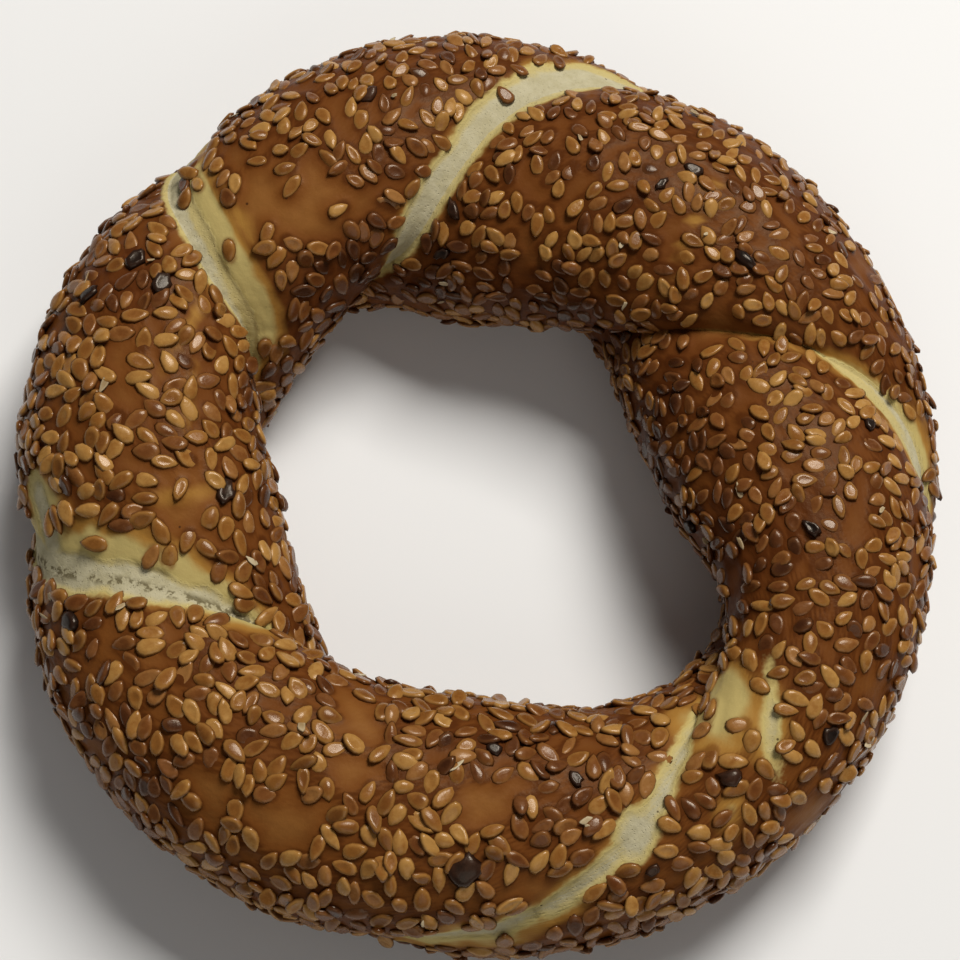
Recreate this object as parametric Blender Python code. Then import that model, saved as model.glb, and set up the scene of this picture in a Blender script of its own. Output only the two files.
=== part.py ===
"""A simit: one rope of dough, twisted round itself, closed into a ring and baked on its flat base.

The ring lies in XY with +Z up. Angles round it are in degrees and grow clockwise as seen from above, from +X.
Stations round the cross-section run from 0 at the side that faces the hole, over the top at 0.5 and
the outer side at 1, to the underside at 1.5, and back to the hole side at 2.
The seam between the twisted strands is one closed line, which passes over the top of the ring once for each
roll of dough and moves two rolls on each time that it has gone once round the cross-section.
Lengths are in metres.
"""

import math
from collections.abc import Callable
from dataclasses import dataclass

import bpy
import numpy as np

# Plan of the ring, from its centre to the crests of the rolls on either side, at every 30 degrees.
HOLE_RADII = (0.0255, 0.0335, 0.0320, 0.0265, 0.0265, 0.0250, 0.0255, 0.0295, 0.0310, 0.0265, 0.0265, 0.0240)
OUTER_RADII = (0.0635, 0.0625, 0.0615, 0.0610, 0.0610, 0.0615, 0.0615, 0.0630, 0.0650, 0.0665, 0.0650, 0.0635)

# Cross-section of the rope.
CREST_HEIGHTS = (0.0295, 0.0285, 0.0290, 0.0290, 0.0290, 0.0305)  # above the base, at every 60 degrees
WAIST_HEIGHT = 0.0138  # where the rope is widest, above the base
DROP = 0.0172  # from the waist to the lowest point that the rope would have if no tray flattened it
BASE_BLEND = 0.0012  # height over which the flat base turns up into the sides
SECTION_POWER = 0.94  # 1 is an ellipse, and less is squarer
CROWN_POWER = 2.3  # how flat a roll is across its crest
UNDERSIDE_DEPTH = 0.0016  # how deep the seam would lie below the rolls under the ring

# How fine the surface is.
STEPS_ACROSS_ROLL = 18
STEPS_ROUND_SECTION = 40

SHARP_ANGLE = math.radians(50)  # a crease sharper than this is not shaded smooth

CRUST_COLOUR = (0.154, 0.062, 0.016, 1.0)
CRUST_ROUGHNESS = 0.45


@dataclass(frozen=True)
class Seam:
    """One pass of the seam over the ring.

    Its angles and its depths below the rolls' crests are those at the hole side, the top and the outer side.
    The roll before the seam falls to it with the power fall_before and the roll after it with fall_after:
    at 0.5 it is as round as a rope, and at 1 it is a gentle slope.
    """

    angles: tuple[float, float, float]
    depths: tuple[float, float, float]
    fall_before: float
    fall_after: float


SEAMS = (
    Seam(angles=(-152, -140, -128), depths=(0.0060, 0.0044, 0.0036), fall_before=0.50, fall_after=0.85),
    Seam(angles=(-113, -89, -58), depths=(0.0052, 0.0046, 0.0044), fall_before=0.80, fall_after=0.52),
    Seam(angles=(-54, -27, 3), depths=(0.0050, 0.0052, 0.0036), fall_before=0.50, fall_after=0.75),
    Seam(angles=(26, 58, 98), depths=(0.0080, 0.0030, 0.0030), fall_before=0.70, fall_after=0.70),
    Seam(angles=(127, 160, 175), depths=(0.0052, 0.0046, 0.0040), fall_before=0.52, fall_after=0.85),
)


def closed_curve(knots: np.ndarray, period: float, gain: float = 0.0) -> Callable[[np.ndarray], np.ndarray]:
    """A smooth curve through evenly spaced knots, which starts again a gain higher after each period.

    Between two knots it is the cubic whose slope at each knot is that between the knot's two neighbours.
    """
    count = len(knots)

    def knot(index: np.ndarray) -> np.ndarray:
        return knots[index % count] + gain * (index // count)

    def curve(place: np.ndarray) -> np.ndarray:
        local = np.asarray(place) * count / period
        low = np.floor(local).astype(int)
        x = local - low
        before, start, end, after = (knot(low + n) for n in (-1, 0, 1, 2))
        rise_start, rise_end = 0.5 * (end - before), 0.5 * (after - start)
        cubic = (2 * start - 2 * end + rise_start + rise_end) * x**3
        square = (3 * end - 3 * start - 2 * rise_start - rise_end) * x**2
        return cubic + square + rise_start * x + start

    return curve


def along_whole_seam(
    passes: list[tuple[float, ...]], number: int, station: np.ndarray, gain: float = 0.0
) -> np.ndarray:
    """A value at some stations of one pass of the seam.

    It lies on the smooth curve through each pass's values at its four quarter stations. The curve follows the
    whole closed seam, so after the underside of a pass comes the pass two further on. Gain is added for each
    whole turn round the ring.
    """
    rolls = len(passes)
    laps = range(rolls)
    knots = [value + gain * (2 * lap // rolls) for lap in laps for value in passes[2 * lap % rolls]]
    lap = next(n for n in laps if 2 * n % rolls == number % rolls)
    turns = number // rolls - 2 * lap // rolls
    curve = closed_curve(np.array(knots, float), period=2.0 * rolls, gain=2 * gain)
    return curve(station + 2.0 * lap) + gain * turns


def seam_angle(number: int, station: np.ndarray) -> np.ndarray:
    """The angle of one pass of the seam at these stations. Passes count on past the last, a turn further."""
    passes = []
    for index, seam in enumerate(SEAMS):
        turn, after = divmod(index + 2, len(SEAMS))
        under = (seam.angles[2] + SEAMS[after].angles[0] + 360 * turn) / 2
        passes.append((*seam.angles, under))
    return along_whole_seam(passes, number, station, gain=360.0)


def seam_depth(number: int, station: np.ndarray) -> np.ndarray:
    """How deep one pass of the seam lies at these stations."""
    return along_whole_seam([(*seam.depths, UNDERSIDE_DEPTH) for seam in SEAMS], number, station)


def blended(values: tuple[float, ...], number: int, station: np.ndarray) -> np.ndarray:
    """A value of one pass of the seam, which under the ring turns into that of the pass two further on."""
    here, following = values[number % len(values)], values[(number + 2) % len(values)]
    share = np.clip(station - 1.0, 0.0, 1.0)
    return here + (following - here) * share**2 * (3 - 2 * share)


def flattened(height: np.ndarray) -> np.ndarray:
    """Heights with all below the tray brought up to it, and a smooth turn into the sides."""
    turning = (height + BASE_BLEND) ** 2 / (4 * BASE_BLEND)
    return np.where(height > BASE_BLEND, height, np.where(height < -BASE_BLEND, 0.0, turning))


def sunk_depth(roll: int, across: np.ndarray, station: np.ndarray) -> np.ndarray:
    """How far a roll's surface lies below its crest: deepest along the seam on either side of it."""
    fall_start = blended(tuple(seam.fall_after for seam in SEAMS), roll, station)
    fall_end = blended(tuple(seam.fall_before for seam in SEAMS), roll + 1, station)
    share = across**2 * (3 - 2 * across)
    fall = fall_start + (fall_end - fall_start) * share
    depth = seam_depth(roll, station) * (1 - share) + seam_depth(roll + 1, station) * share
    crest = (1 - np.abs(2 * across - 1) ** CROWN_POWER) ** fall
    return depth * (1 - crest)


def surface(roll: int, across: np.ndarray, station: np.ndarray) -> np.ndarray:
    """Points of one roll. Across runs from 0 at its seam to 1 at the next, clockwise."""
    start, end = seam_angle(roll, station), seam_angle(roll + 1, station)
    angle = start + across * (end - start)
    sunk = sunk_depth(roll, across, station)
    turn = np.pi * (1 - station)
    cosine, sine = np.cos(turn), np.sin(turn)
    wide = np.sign(cosine) * np.abs(cosine) ** SECTION_POWER
    tall = np.sign(sine) * np.abs(sine) ** SECTION_POWER
    hole = closed_curve(np.array(HOLE_RADII), period=360.0)(angle)
    outer = closed_curve(np.array(OUTER_RADII), period=360.0)(angle)
    radius = (outer + hole) / 2 + (outer - hole) / 2 * wide - sunk * cosine
    rise = closed_curve(np.array(CREST_HEIGHTS), period=360.0)(angle) - WAIST_HEIGHT
    height = WAIST_HEIGHT + np.where(sine > 0, rise, DROP) * tall - sunk * sine
    around = np.radians(-angle)
    return np.stack((radius * np.cos(around), radius * np.sin(around), flattened(height)), axis=-1)


def ring_points() -> np.ndarray:
    """All points of the ring, as station by place round the ring, with its box centred on the origin."""
    across = 0.5 - 0.5 * np.cos(np.pi * np.arange(STEPS_ACROSS_ROLL) / STEPS_ACROSS_ROLL)
    station = np.arange(STEPS_ROUND_SECTION) * 2.0 / STEPS_ROUND_SECTION
    grid_across, grid_station = np.meshgrid(across, station)
    points = np.concatenate([surface(k, grid_across, grid_station) for k in range(len(SEAMS))], axis=1)
    middle = (points.min(axis=(0, 1)) + points.max(axis=(0, 1))) / 2
    return points - np.array((middle[0], middle[1], 0.0))


def ring_faces() -> np.ndarray:
    """The quads of the ring. Round the cross-section, the last row joins the first two rolls further on."""
    columns = STEPS_ACROSS_ROLL * len(SEAMS)
    row, column = np.meshgrid(np.arange(STEPS_ROUND_SECTION), np.arange(columns), indexing="ij")
    beside = (column + 1) % columns
    moved = np.where(row == STEPS_ROUND_SECTION - 1, 2 * STEPS_ACROSS_ROLL, 0)
    above = (row + 1) % STEPS_ROUND_SECTION * columns
    corners = (
        row * columns + column,
        row * columns + beside,
        above + (beside + moved) % columns,
        above + (column + moved) % columns,
    )
    return np.stack(corners, axis=-1).reshape(-1, 4)


def crust_material() -> bpy.types.Material:
    """Brown glazed crust."""
    material = bpy.data.materials.new("crust")
    material.use_nodes = True
    shader = material.node_tree.nodes["Principled BSDF"]
    shader.inputs["Base Color"].default_value = CRUST_COLOUR
    shader.inputs["Roughness"].default_value = CRUST_ROUGHNESS
    shader.inputs["Metallic"].default_value = 0.0
    return material


def bread_ring() -> bpy.types.Object:
    """The whole simit, one piece of bread."""
    mesh = bpy.data.meshes.new("bread_ring")
    mesh.from_pydata(ring_points().reshape(-1, 3).tolist(), [], ring_faces().tolist())
    mesh.materials.append(crust_material())
    mesh.validate()
    mesh.shade_smooth()
    mesh.set_sharp_from_angle(angle=SHARP_ANGLE)
    ring = bpy.data.objects.new("bread_ring", mesh)
    bpy.context.scene.collection.objects.link(ring)
    return ring


def main() -> None:
    """Clears the scene and models the simit."""
    for old in list(bpy.data.objects):
        bpy.data.objects.remove(old)
    bread_ring()


if __name__ == "__main__":
    main()
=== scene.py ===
"""Looks of a simit: the torn and glazed skin of a twisted bread ring, its coat of sesame seeds, and a plain studio.

The ring lies in XY with +Z up, in metres. A place on the skin is given by three numbers, as on the solid:
a roll of dough; how far across that roll, from 0 at its seam to 1 at the next, clockwise from above; and the
station round the cross-section, from 0 at the hole, over the top at 0.5 and the outer side at 1, to the
underside at 1.5 and back to the hole at 2.
"""

import logging
import math
from collections.abc import Callable
from dataclasses import dataclass, field, replace
from enum import Enum
from functools import cached_property

import bpy
import numpy as np
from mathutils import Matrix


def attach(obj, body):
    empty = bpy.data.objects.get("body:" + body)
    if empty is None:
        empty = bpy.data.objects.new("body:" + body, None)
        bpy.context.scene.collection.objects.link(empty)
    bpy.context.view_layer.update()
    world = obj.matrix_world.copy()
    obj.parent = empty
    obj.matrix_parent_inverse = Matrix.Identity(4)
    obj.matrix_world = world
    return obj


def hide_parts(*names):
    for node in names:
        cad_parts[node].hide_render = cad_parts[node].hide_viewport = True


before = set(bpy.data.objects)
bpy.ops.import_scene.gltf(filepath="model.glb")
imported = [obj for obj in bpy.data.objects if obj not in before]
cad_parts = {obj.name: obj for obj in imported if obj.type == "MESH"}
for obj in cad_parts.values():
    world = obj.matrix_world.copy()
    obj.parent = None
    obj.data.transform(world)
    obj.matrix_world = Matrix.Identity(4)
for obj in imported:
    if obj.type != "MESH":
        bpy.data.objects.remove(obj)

log = logging.getLogger("simit")

SOLID = "bread_ring"
BODY = "root"
MILLIMETRE = 0.001


def linear(red: float, green: float, blue: float) -> tuple[float, float, float, float]:
    """Turn a display colour into scene-linear light.

    Args:
        red: Display red, from 0 to 255.
        green: Display green, from 0 to 255.
        blue: Display blue, from 0 to 255.

    Returns:
        The linear colour, with an alpha of 1.
    """
    parts = [value / 255 for value in (red, green, blue)]
    light = [part / 12.92 if part <= 0.04045 else ((part + 0.055) / 1.055) ** 2.4 for part in parts]
    return (*light, 1.0)


def smooth_step(value: np.ndarray, low: float, high: float) -> np.ndarray:
    """Rise smoothly from 0 at low to 1 at high, by 3x squared less 2x cubed.

    Args:
        value: The values to place between low and high.
        low: Where the step starts. It may be above high, and then the step falls.
        high: Where the step ends.

    Returns:
        The step's height at each value.
    """
    share = np.clip((value - low) / (high - low), 0.0, 1.0)
    return share * share * (3 - 2 * share)


def closed_curve(knots: np.ndarray, period: float, gain: float = 0.0) -> Callable[[np.ndarray], np.ndarray]:
    """Draw a smooth curve through evenly spaced knots, which starts again a gain higher after each period.

    Between two knots it is the cubic whose slope at each knot is that between the knot's two neighbours.

    Args:
        knots: The curve's heights at its knots.
        period: The length that all the knots together take.
        gain: How much higher each period is than the last.

    Returns:
        A function from places along the curve to its heights there.
    """
    count = len(knots)

    def knot(index: np.ndarray) -> np.ndarray:
        """The height of a knot, which may lie in any period."""
        return knots[index % count] + gain * (index // count)

    def curve(place: np.ndarray) -> np.ndarray:
        """The curve's height at these places."""
        local = np.asarray(place) * count / period
        low = np.floor(local).astype(int)
        x = local - low
        before, start, end, after = (knot(low + n) for n in (-1, 0, 1, 2))
        rise_start, rise_end = 0.5 * (end - before), 0.5 * (after - start)
        cubic = (2 * start - 2 * end + rise_start + rise_end) * x**3
        square = (3 * end - 3 * start - 2 * rise_start - rise_end) * x**2
        return cubic + square + rise_start * x + start

    return curve


@dataclass(frozen=True)
class SoftNoise:
    """Smooth random numbers in space, from -1 to 1, the same for the same seed."""

    seed: int

    def at(self, points: np.ndarray, grain: float, octaves: int = 1) -> np.ndarray:
        """Blend random values at the corners of cubic cells, and add finer cells at half the weight.

        Args:
            points: Places in metres, with the three coordinates last.
            grain: The width of the coarsest cells, in metres.
            octaves: How many sizes of cell are added.

        Returns:
            One number for each point.
        """
        table = np.random.default_rng(self.seed).uniform(-1.0, 1.0, 4096)
        total, weights = np.zeros(points.shape[:-1]), 0.0
        for octave in range(octaves):
            cell = points * (2**octave / grain) + 31.7 * octave
            low = np.floor(cell).astype(np.int64)
            share = cell - low
            share = share * share * (3 - 2 * share)
            value = np.zeros(points.shape[:-1])
            for corner in np.ndindex(2, 2, 2):
                ix, iy, iz = (low[..., axis] + corner[axis] for axis in range(3))
                key = (ix * 73856093 ^ iy * 19349663 ^ iz * 83492791) & 4095
                sides = [share[..., axis] if corner[axis] else 1 - share[..., axis] for axis in range(3)]
                value += table[key] * sides[0] * sides[1] * sides[2]
            total += value * 0.5**octave
            weights += 0.5**octave
        return total / weights


@dataclass(frozen=True)
class Seam:
    """One pass of the seam over the ring.

    Its angles and its depths below the rolls' crests are those at the hole side, the top and the outer side.
    The roll before the seam falls to it with the power fall_before and the roll after it with fall_after.
    Torn is how wide the pale dough shows on the roll before and after the seam, and golden how much
    farther the crust there is only lightly baked, in millimetres, at five stations from the hole side to
    the outer side. Below zero there is none. Ragged is how much those widths wander, pits how full of holes the
    dough is, and strands how far straw-coloured strands run into it from its edge.
    """

    angles: tuple[float, float, float]
    depths: tuple[float, float, float]
    fall_before: float
    fall_after: float
    torn_before: tuple[float, float, float, float, float]
    torn_after: tuple[float, float, float, float, float]
    golden_before: tuple[float, float, float, float, float]
    golden_after: tuple[float, float, float, float, float]
    ragged: float = 0.25
    pits: float = 0.3
    strands: float = 0.0


@dataclass(frozen=True)
class Ring:
    """The twisted ring of dough, with the same sizes as its solid.

    Peel is how far the skin lies inside the solid, so that the seeds reach the solid's faces, lump the height of
    the skin's broad lumps, and fill how much of the torn width the dough has risen in the seam. Middle is the
    centre of the unmoved ring's box.
    """

    seams: tuple[Seam, ...]
    hole_radii: tuple[float, ...] = (
        0.0255, 0.0335, 0.0320, 0.0265, 0.0265, 0.0250, 0.0255, 0.0295, 0.0310, 0.0265, 0.0265, 0.0240,
    )
    outer_radii: tuple[float, ...] = (
        0.0635, 0.0625, 0.0615, 0.0610, 0.0610, 0.0615, 0.0615, 0.0630, 0.0650, 0.0665, 0.0650, 0.0635,
    )
    crest_heights: tuple[float, ...] = (0.0295, 0.0285, 0.0290, 0.0290, 0.0290, 0.0305)
    waist_height: float = 0.0138
    drop: float = 0.0172
    base_blend: float = 0.0012
    section_power: float = 0.94
    crown_power: float = 2.3
    underside_depth: float = 0.0016
    solid_steps: tuple[int, int] = (18, 40)
    peel: float = 0.0
    lump: float = 0.0
    fill: float = 0.0
    middle: tuple[float, float, float] = (0.0, 0.0, 0.0)

    def along_seam(
        self, passes: np.ndarray, number: np.ndarray, station: np.ndarray, gain: float = 0.0
    ) -> np.ndarray:
        """Read a value of the seam at some stations of its passes.

        The value lies on the smooth curve through the evenly spaced values of all passes in the order in which
        the closed seam takes them, two rolls on after each time round the cross-section.

        Args:
            passes: One row of values for each pass, evenly spaced round the cross-section.
            number: The pass, which may count on past the last, a turn further.
            station: The stations to read.
            gain: What is added for each whole turn round the ring.

        Returns:
            The value at each station.
        """
        rolls = len(self.seams)
        lap = np.arange(rolls)
        order = 2 * lap % rolls
        knots = (passes[order] + gain * (2 * lap // rolls)[:, None]).ravel()
        lap_of = number * pow(2, -1, rolls) % rolls
        turns = number // rolls - 2 * lap_of // rolls
        curve = closed_curve(knots, period=2.0 * rolls, gain=2 * gain)
        return curve(station + 2.0 * lap_of) + gain * turns

    def seam_angle(self, number: np.ndarray, station: np.ndarray) -> np.ndarray:
        """The angle of a pass of the seam, with the underside midway to the pass two further on."""
        rolls = len(self.seams)
        rows = []
        for index, seam in enumerate(self.seams):
            turn, after = divmod(index + 2, rolls)
            under = (seam.angles[2] + self.seams[after].angles[0] + 360 * turn) / 2
            rows.append((*seam.angles, under))
        return self.along_seam(np.array(rows, float), number, station, gain=360.0)

    def seam_depth(self, number: np.ndarray, station: np.ndarray) -> np.ndarray:
        """How deep a pass of the seam lies below the rolls."""
        rows = [(*seam.depths, self.underside_depth) for seam in self.seams]
        return self.along_seam(np.array(rows), number, station)

    def torn_width(self, side: str, number: np.ndarray, station: np.ndarray) -> np.ndarray:
        """The width of one of the seam's bands, such as torn_before, in metres, below zero where none shows."""
        rows = [(*getattr(seam, side), -1.0, -1.5, -1.0) for seam in self.seams]
        return self.along_seam(np.array(rows), number, station) * MILLIMETRE

    def blended(self, values: list[float], number: np.ndarray, station: np.ndarray) -> np.ndarray:
        """A value of a pass, which under the ring turns smoothly into that of the pass two further on."""
        table = np.array(values)
        here, following = table[number % len(table)], table[(number + 2) % len(table)]
        return here + (following - here) * smooth_step(station, 1.0, 2.0)

    def sunk(self, roll: np.ndarray, across: np.ndarray, station: np.ndarray) -> np.ndarray:
        """Find how far the skin lies below the crest of its roll.

        It is the seam's depth times one less the crown, where the crown is one less a power of the distance
        from the crest, to the power with which the roll falls to the seam on that side. Where dough has risen in
        the seam, the smaller of that and the filled depth is taken, with a soft corner between them.

        Args:
            roll: The roll of each place.
            across: How far across its roll each place is.
            station: The station of each place.

        Returns:
            The depth at each place, in metres.
        """
        share = smooth_step(across, 0.0, 1.0)
        fall_start = self.blended([seam.fall_after for seam in self.seams], roll, station)
        fall_end = self.blended([seam.fall_before for seam in self.seams], roll + 1, station)
        fall = fall_start + (fall_end - fall_start) * share
        crest = (1 - np.abs(2 * across - 1) ** self.crown_power) ** fall
        depths, floors = [], []
        for number in (roll, roll + 1):
            depth = self.seam_depth(number, station)
            sides = [self.torn_width(side, number, station) for side in ("torn_before", "torn_after")]
            depths.append(depth)
            floors.append(depth - self.fill * sum(np.maximum(side, 0.0) for side in sides))
        deep = depths[0] * (1 - share) + depths[1] * share
        floor = floors[0] * (1 - share) + floors[1] * share
        plain = deep * (1 - crest)
        if not self.fill:
            return plain
        corner = 0.0005
        return 0.5 * (plain + floor - np.sqrt((plain - floor) ** 2 + corner**2)) + 0.05 * corner

    def place(self, roll: np.ndarray, across: np.ndarray, station: np.ndarray) -> np.ndarray:
        """Find points of the skin.

        The cross-section is a slightly squared ellipse between the hole and outer radii, less the sunk depth
        along the ellipse's own direction, and it is pressed flat at the height of the base.

        Args:
            roll: The roll of each place, as whole numbers.
            across: How far across its roll each place is.
            station: The station of each place.

        Returns:
            The points, in metres, with the three coordinates last.
        """
        start, end = self.seam_angle(roll, station), self.seam_angle(roll + 1, station)
        angle = start + across * (end - start)
        sunk = self.sunk(roll, across, station) + self.peel
        turn = np.pi * (1 - station)
        cosine, sine = np.cos(turn), np.sin(turn)
        wide = np.sign(cosine) * np.abs(cosine) ** self.section_power
        tall = np.sign(sine) * np.abs(sine) ** self.section_power
        hole = closed_curve(np.array(self.hole_radii), period=360.0)(angle)
        outer = closed_curve(np.array(self.outer_radii), period=360.0)(angle)
        rise = closed_curve(np.array(self.crest_heights), period=360.0)(angle) - self.waist_height
        radius = (outer + hole) / 2 + (outer - hole) / 2 * wide - sunk * cosine
        height = self.waist_height + np.where(sine > 0, rise, self.drop) * tall - sunk * sine
        above = height - self.peel
        turning = (above + self.base_blend) ** 2 / (4 * self.base_blend)
        flat = np.where(above > self.base_blend, above, np.where(above < -self.base_blend, 0.0, turning))
        around = np.radians(-angle)
        points = np.stack((radius * np.cos(around), radius * np.sin(around), flat + self.peel), axis=-1)
        return points - np.array(self.middle)

    def normal(self, roll: np.ndarray, across: np.ndarray, station: np.ndarray) -> np.ndarray:
        """The outward direction of the skin: the cross product of its small steps across and round."""
        step = 0.002
        inside = np.clip(across, step, 1 - step)
        over = self.place(roll, inside + step, station) - self.place(roll, inside - step, station)
        round_it = self.place(roll, across, station + step) - self.place(roll, across, station - step)
        outward = np.cross(over, round_it)
        return outward / np.maximum(np.linalg.norm(outward, axis=-1, keepdims=True), 1e-12)

    def far_right_darkening(self, points: np.ndarray) -> np.ndarray:
        """How much darker these places are made, from -1 to 1: it rises evenly towards the far right."""
        return np.clip((0.5 * points[..., 0] + 0.87 * points[..., 1]) / 0.055, -1.0, 1.0)

    def lumps(self, points: np.ndarray) -> np.ndarray:
        """How far the skin's broad lumps stand out at these places: a cloudy noise that fades at the base."""
        fade = smooth_step(points[..., 2], 0.0006, 0.0025)
        return self.lump * SoftNoise(37).at(points, 0.008, 2) * fade

    def box_middle(self) -> tuple[float, float, float]:
        """The centre in plan of the box of this ring as its solid divides it, which the solid puts at zero."""
        across = 0.5 - 0.5 * np.cos(np.pi * np.arange(self.solid_steps[0]) / self.solid_steps[0])
        station = np.arange(self.solid_steps[1]) * 2.0 / self.solid_steps[1]
        roll, grid_across, grid_station = np.meshgrid(np.arange(len(self.seams)), across, station, indexing="ij")
        points = self.place(roll, grid_across, grid_station).reshape(-1, 3)
        middle = (points.min(axis=0) + points.max(axis=0)) / 2
        return (float(middle[0]), float(middle[1]), 0.0)


@dataclass(frozen=True)
class Oval:
    """An oval region in space, by its centre, two axes divided by its half-widths, and its upward axis."""

    centre: np.ndarray
    along: np.ndarray
    aside: np.ndarray
    up: np.ndarray
    narrow: float

    def gap(self, points: np.ndarray) -> np.ndarray:
        """How far outside the oval points lie, in metres, and below zero inside it."""
        offset = points - self.centre
        far = (offset @ self.along) ** 2 + (offset @ self.aside) ** 2 + (offset @ self.up) ** 2
        return (np.sqrt(far) - 1) * self.narrow


@dataclass(frozen=True)
class Patch:
    """An oval on the skin, by the place of its middle, its half-widths and its turn in degrees from the radius."""

    roll: int
    across: float
    station: float
    long: float
    wide: float
    turn: float = 0.0

    def oval(self, ring: Ring) -> Oval:
        """The oval in space, three times as deep as it is long."""
        where = (np.array([self.roll]), np.array([self.across]), np.array([self.station]))
        centre, up = ring.place(*where)[0], ring.normal(*where)[0]
        around = np.cross(up, (centre[0], centre[1], 0.0))
        around /= np.linalg.norm(around)
        outward = np.cross(around, up)
        cosine, sine = math.cos(math.radians(self.turn)), math.sin(math.radians(self.turn))
        along = (outward * cosine + around * sine) / self.long
        aside = (around * cosine - outward * sine) / self.wide
        return Oval(centre, along, aside, up / (3 * max(self.long, self.wide)), min(self.long, self.wide))


@dataclass(frozen=True)
class SeamLine:
    """One pass of the seam as the edge of one roll: its points, and the widths of the bands there."""

    points: np.ndarray
    torn: np.ndarray
    golden: np.ndarray
    seam: Seam


@dataclass(frozen=True)
class Bands:
    """Where the ring's skin is torn, golden or bare, and where shade is painted on it, as fields that can be read at
    any place on it.
    """

    ring: Ring
    tears: tuple[Patch, ...]
    golden: tuple[Patch, ...]
    bare: tuple[Patch, ...]
    dark_crust: tuple[Patch, ...]
    noise: SoftNoise = SoftNoise(11)
    seam_points: int = 120

    @cached_property
    def ovals(self) -> dict[str, list[Oval]]:
        """The single patches of each field."""
        patches = {"torn": self.tears, "golden": self.golden, "bare": self.bare}
        return {name: [patch.oval(self.ring) for patch in group] for name, group in patches.items()}

    @cached_property
    def lines(self) -> dict[tuple[int, int], SeamLine]:
        """The seam's passes, each as the start (0) of the roll after it and as the end (1) of the roll before."""
        station = np.linspace(0.0, 2.0, self.seam_points)
        lines = {}
        for number, seam in enumerate(self.ring.seams):
            passes = np.full(station.shape, number)
            points = self.ring.place(passes, np.zeros_like(station), station)
            for end, side in enumerate(("after", "before")):
                torn = self.ring.torn_width(f"torn_{side}", passes, station)
                golden = np.maximum(torn, 0.0) + self.ring.torn_width(f"golden_{side}", passes, station)
                lines[number, end] = SeamLine(points, torn, golden, seam)
        return lines

    def seam_gaps(self, points: np.ndarray, roll: np.ndarray) -> dict[str, np.ndarray]:
        """Measure how far places lie from the seams on both sides of their roll, and from the bands along them.

        Each place takes the nearest point of the line of its own roll's seam and of the next one, and compares
        its distance with the widths of the bands there.

        Args:
            points: Places on the skin, as rows.
            roll: The roll that each place is on.

        Returns:
            Distances in metres: crease, to the nearest seam; torn, outside the torn dough; golden, outside the
            lightly baked crust. Also pits and strands, those of the nearest seam.
        """
        found = {name: np.full(len(points), 1.0) for name in ("crease", "torn", "golden", "pits", "strands")}
        wander = self.noise.at(points, 0.0035, 2)
        for (number, end), line in self.lines.items():
            mine = np.flatnonzero((roll + end) % len(self.ring.seams) == number)
            squares = (points[mine] ** 2).sum(axis=1)[:, None] - 2 * points[mine] @ line.points.T
            squares += (line.points**2).sum(axis=1)
            nearest = squares.argmin(axis=1)
            distance = np.sqrt(np.maximum(squares[np.arange(len(mine)), nearest], 0.0))
            ragged = 1 + line.seam.ragged * wander[mine]
            nearer = distance < found["crease"][mine]
            for name in ("pits", "strands"):
                found[name][mine] = np.where(nearer, getattr(line.seam, name), found[name][mine])
            found["crease"][mine] = np.minimum(found["crease"][mine], distance)
            found["torn"][mine] = np.minimum(found["torn"][mine], distance - line.torn[nearest] * ragged)
            found["golden"][mine] = np.minimum(found["golden"][mine], distance - line.golden[nearest] * ragged)
        return found

    def read(self, points: np.ndarray, roll: np.ndarray) -> dict[str, np.ndarray]:
        """Measure the gaps of seam_gaps with the single patches joined in, and the gap to the bare patches.

        Args:
            points: Places on the skin, as rows.
            roll: The roll that each place is on.

        Returns:
            Distances in metres, named crease, torn, golden and bare, and the seam's pits and strands.
        """
        found = self.seam_gaps(points, roll)
        found["bare"] = np.full(len(points), 1.0)
        wander = 0.0012 * self.noise.at(points, 0.004, 2)
        for name, ovals in self.ovals.items():
            for oval in ovals:
                found[name] = np.minimum(found[name], oval.gap(points) + wander)
        return found

    def patch_shade(self, points: np.ndarray) -> np.ndarray:
        """How far places lie in the patches of painted shade, mostly on the walls of the hole, from 0 outside them to
        1 inside.
        """
        gap = np.min([patch.oval(self.ring).gap(points) for patch in self.dark_crust], axis=0)
        return smooth_step(gap + 0.0022 * self.noise.at(points, 0.007, 2), 0.0018, -0.0030)


class SeedKind(Enum):
    """The kinds of small things on the crust."""

    GOLDEN = "sesame_golden"
    TANNED = "sesame_tanned"
    TOASTED = "sesame_toasted"
    BURNT = "seeds_burnt"
    HUSK = "husk_flakes"


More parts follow.
